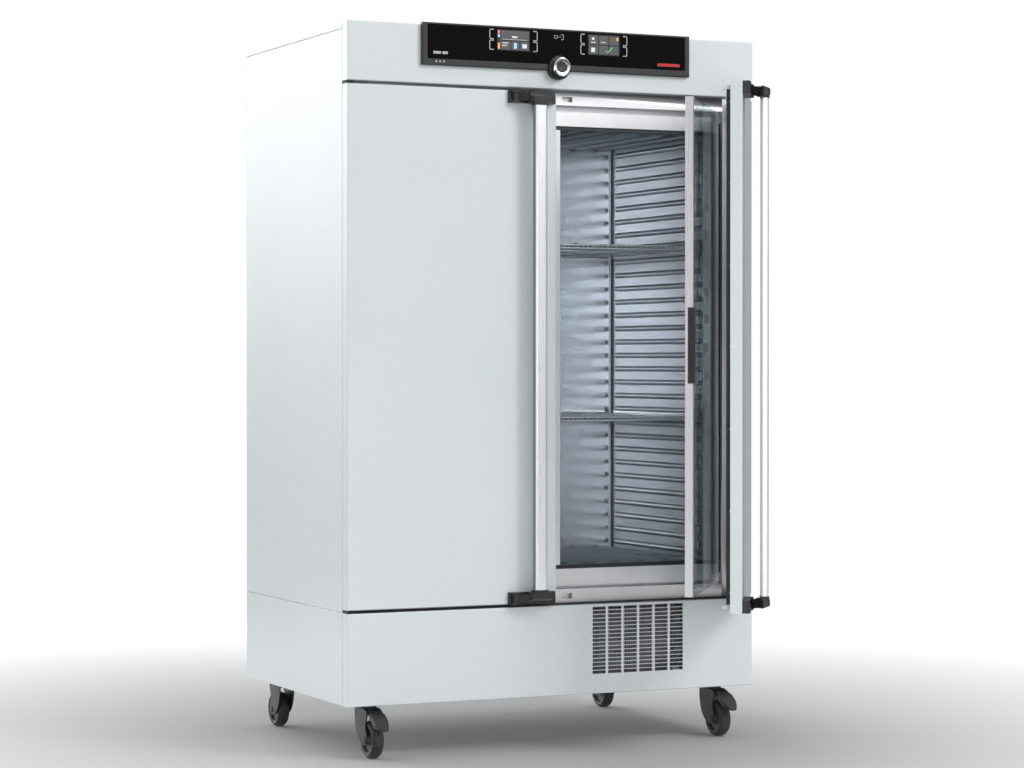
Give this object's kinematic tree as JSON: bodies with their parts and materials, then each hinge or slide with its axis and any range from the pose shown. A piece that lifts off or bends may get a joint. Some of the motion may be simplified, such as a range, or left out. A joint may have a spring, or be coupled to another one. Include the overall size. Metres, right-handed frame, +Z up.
{
  "type": "laboratory incubator",
  "caption": "Tall double-door cooled laboratory incubator on swivel castors with inner glass doors, ribbed steel chamber, wire shelves and a top control panel.",
  "frame": {"origin": "on the floor below the centre of the cabinet's footprint", "axes": "+X to the right seen from the front, +Y to the rear, +Z up"},
  "size_m": [1.2306, 1.2993, 1.955],
  "materials": {
    "enamel_steel": "fine textured satin",
    "frame_steel": "brushed",
    "chamber_steel": "polished",
    "galvanised": "zinc plated",
    "black_rubber": "matt",
    "foam": "rigid foam",
    "mat_foil": "silicone mat",
    "black_plastic": "fine grain",
    "gloss_black": "gloss",
    "display": "lit screen",
    "aluminium": "anodised",
    "copper": "bare copper tube",
    "glass": "clear",
    "steel": "turned",
    "castor_plastic": "moulded",
    "castor_tyre": "soft rubber"
  },
  "bodies": {
    "cabinet": {"side_panels": "enamel_steel", "rear_panels": "enamel_steel", "top_cover": "enamel_steel", "front_fascia": "enamel_steel", "base_front_panel": "enamel_steel", "door_frame": "frame_steel", "chamber_liner": "chamber_steel", "fan_cover": "chamber_steel", "shelf_rails": "chamber_steel", "base_frame": "galvanised", "door_hinges": "galvanised", "opening_seal": "black_rubber", "insulation": "foam", "heater_mats": "mat_foil", "cockpit_housing": "black_plastic", "control_electronics": "black_plastic", "rear_fittings": "black_plastic", "fan_motor": "black_plastic", "compressor": "black_plastic", "cockpit_glass": "gloss_black", "displays": "display", "evaporator": "aluminium", "condenser": "aluminium", "refrigerant_lines": "copper"},
    "door_left": {"door_shell_left": "enamel_steel", "door_inner_left": "frame_steel", "door_core_left": "foam", "door_gasket_left": "black_rubber", "door_fittings_left": "black_plastic"},
    "handle_left": {"handle_arms_left": "black_plastic", "handle_bar_left": "aluminium"},
    "latch_bars_left": {"latch_left": "galvanised"},
    "glass_door_left": {"glass_pane_left": "glass", "glass_profile_left": "aluminium"},
    "door_right": {"door_shell_right": "enamel_steel", "door_inner_right": "frame_steel", "door_core_right": "foam", "door_gasket_right": "black_rubber", "door_fittings_right": "black_plastic"},
    "handle_right": {"handle_arms_right": "black_plastic", "handle_bar_right": "aluminium"},
    "latch_bars_right": {"latch_right": "galvanised"},
    "glass_door_right": {"glass_pane_right": "glass", "glass_profile_right": "aluminium"},
    "upper_shelf": {"shelf_upper": "chamber_steel"},
    "lower_shelf": {"shelf_lower": "chamber_steel"},
    "dial_carrier": {"dial_shaft": "steel"},
    "dial_knob": {"dial": "aluminium"},
    "chamber_fan": {"circulation_fan": "black_plastic"},
    "cooling_fan": {"condenser_fan": "black_plastic"},
    "castor_fork_front_left": {"fork_front_left": "castor_plastic"},
    "castor_wheel_front_left": {"wheel_front_left": "castor_tyre"},
    "castor_fork_front_right": {"fork_front_right": "castor_plastic"},
    "castor_wheel_front_right": {"wheel_front_right": "castor_tyre"},
    "castor_fork_rear_left": {"fork_rear_left": "castor_plastic"},
    "castor_wheel_rear_left": {"wheel_rear_left": "castor_tyre"},
    "castor_fork_rear_right": {"fork_rear_right": "castor_plastic"},
    "castor_wheel_rear_right": {"wheel_rear_right": "castor_tyre"},
    "brake_pedal_front_left": {"brake_front_left": "castor_plastic"},
    "brake_pedal_front_right": {"brake_front_right": "castor_plastic"}
  },
  "joints": [
    {"name": "door_left_hinge", "type": "hinge", "parent": "cabinet", "child": "door_left", "pos_m": [-0.6, -0.3765, 1.091], "axis": [0, 0, -1], "range_deg": [0, 115]},
    {"name": "door_right_hinge", "type": "hinge", "parent": "cabinet", "child": "door_right", "pos_m": [0.6, -0.3765, 1.091], "axis": [0, 0, 1], "range_deg": [-57.5, 57.5]},
    {"name": "glass_left_hinge", "type": "hinge", "parent": "cabinet", "child": "glass_door_left", "pos_m": [-0.531, -0.346, 1.091], "axis": [0, 0, -1], "range_deg": [0, 106]},
    {"name": "glass_right_hinge", "type": "hinge", "parent": "cabinet", "child": "glass_door_right", "pos_m": [0.531, -0.346, 1.091], "axis": [0, 0, 1], "range_deg": [-52.6, 53]},
    {"name": "handle_left_pull", "type": "hinge", "parent": "door_left", "child": "handle_left", "pos_m": [-0.13, -0.404, 1.091], "axis": [0, 0, -1], "range_deg": [0, 20]},
    {"name": "handle_right_pull", "type": "hinge", "parent": "door_right", "child": "handle_right", "pos_m": [0.37066, -0.78767, 1.091], "axis": [0, 0, 1], "range_deg": [-10, 10]},
    {"name": "latch_left_slide", "type": "slide", "parent": "door_left", "child": "latch_bars_left", "axis": [1, 0, 0], "range_m": [0, 0.0094]},
    {"name": "latch_right_slide", "type": "slide", "parent": "door_right", "child": "latch_bars_right", "axis": [-0.5373, -0.8434, 0], "range_m": [-0.0047, 0.0047]},
    {"name": "shelf_upper_slide", "type": "slide", "parent": "cabinet", "child": "upper_shelf", "axis": [0, -1, 0], "range_m": [0, 0.03]},
    {"name": "shelf_lower_slide", "type": "slide", "parent": "cabinet", "child": "lower_shelf", "axis": [0, -1, 0], "range_m": [0, 0.03]},
    {"name": "dial_push", "type": "slide", "parent": "cabinet", "child": "dial_carrier", "axis": [0, 1, 0], "range_m": [0, 0.002], "stiffness_N_per_m": 400},
    {"name": "dial_turn", "type": "hinge", "parent": "dial_carrier", "child": "dial_knob", "pos_m": [0, -0.42, 1.851], "axis": [0, -1, 0], "continuous": true},
    {"name": "chamber_fan_spin", "type": "hinge", "parent": "cabinet", "child": "chamber_fan", "pos_m": [0, 0.308, 1.38], "axis": [0, 1, 0], "continuous": true},
    {"name": "cooling_fan_spin", "type": "hinge", "parent": "cabinet", "child": "cooling_fan", "pos_m": [0.25, -0.278, 0.271], "axis": [0, 1, 0], "continuous": true},
    {"name": "castor_front_left_swivel", "type": "hinge", "parent": "cabinet", "child": "castor_fork_front_left", "pos_m": [-0.526, -0.318, 0.125], "axis": [0, 0, 1], "continuous": true},
    {"name": "castor_front_left_roll", "type": "hinge", "parent": "castor_fork_front_left", "child": "castor_wheel_front_left", "pos_m": [-0.526, -0.35, 0.05], "axis": [1, 0, 0], "continuous": true},
    {"name": "castor_front_left_brake", "type": "hinge", "parent": "castor_fork_front_left", "child": "brake_pedal_front_left", "pos_m": [-0.526, -0.358, 0.1215], "axis": [1, 0, 0], "range_deg": [0, 10]},
    {"name": "castor_front_right_swivel", "type": "hinge", "parent": "cabinet", "child": "castor_fork_front_right", "pos_m": [0.526, -0.318, 0.125], "axis": [0, 0, 1], "continuous": true},
    {"name": "castor_front_right_roll", "type": "hinge", "parent": "castor_fork_front_right", "child": "castor_wheel_front_right", "pos_m": [0.526, -0.35, 0.05], "axis": [1, 0, 0], "continuous": true},
    {"name": "castor_front_right_brake", "type": "hinge", "parent": "castor_fork_front_right", "child": "brake_pedal_front_right", "pos_m": [0.526, -0.358, 0.1215], "axis": [1, 0, 0], "range_deg": [0, 10]},
    {"name": "castor_rear_left_swivel", "type": "hinge", "parent": "cabinet", "child": "castor_fork_rear_left", "pos_m": [-0.526, 0.328, 0.125], "axis": [0, 0, 1], "continuous": true},
    {"name": "castor_rear_left_roll", "type": "hinge", "parent": "castor_fork_rear_left", "child": "castor_wheel_rear_left", "pos_m": [-0.526, 0.36, 0.05], "axis": [1, 0, 0], "continuous": true},
    {"name": "castor_rear_right_swivel", "type": "hinge", "parent": "cabinet", "child": "castor_fork_rear_right", "pos_m": [0.526, 0.328, 0.125], "axis": [0, 0, 1], "continuous": true},
    {"name": "castor_rear_right_roll", "type": "hinge", "parent": "castor_fork_rear_right", "child": "castor_wheel_rear_right", "pos_m": [0.526, 0.36, 0.05], "axis": [1, 0, 0], "continuous": true}
  ],
  "couplings": [
    {"joint": "glass_left_hinge", "follows": "door_left_hinge", "ratio": 0.91304},
    {"joint": "glass_right_hinge", "follows": "door_right_hinge", "ratio": 0.91304},
    {"joint": "latch_left_slide", "follows": "handle_left_pull", "m_per_rad": 0.0265},
    {"joint": "latch_right_slide", "follows": "handle_right_pull", "m_per_rad": 0.0265}
  ]
}
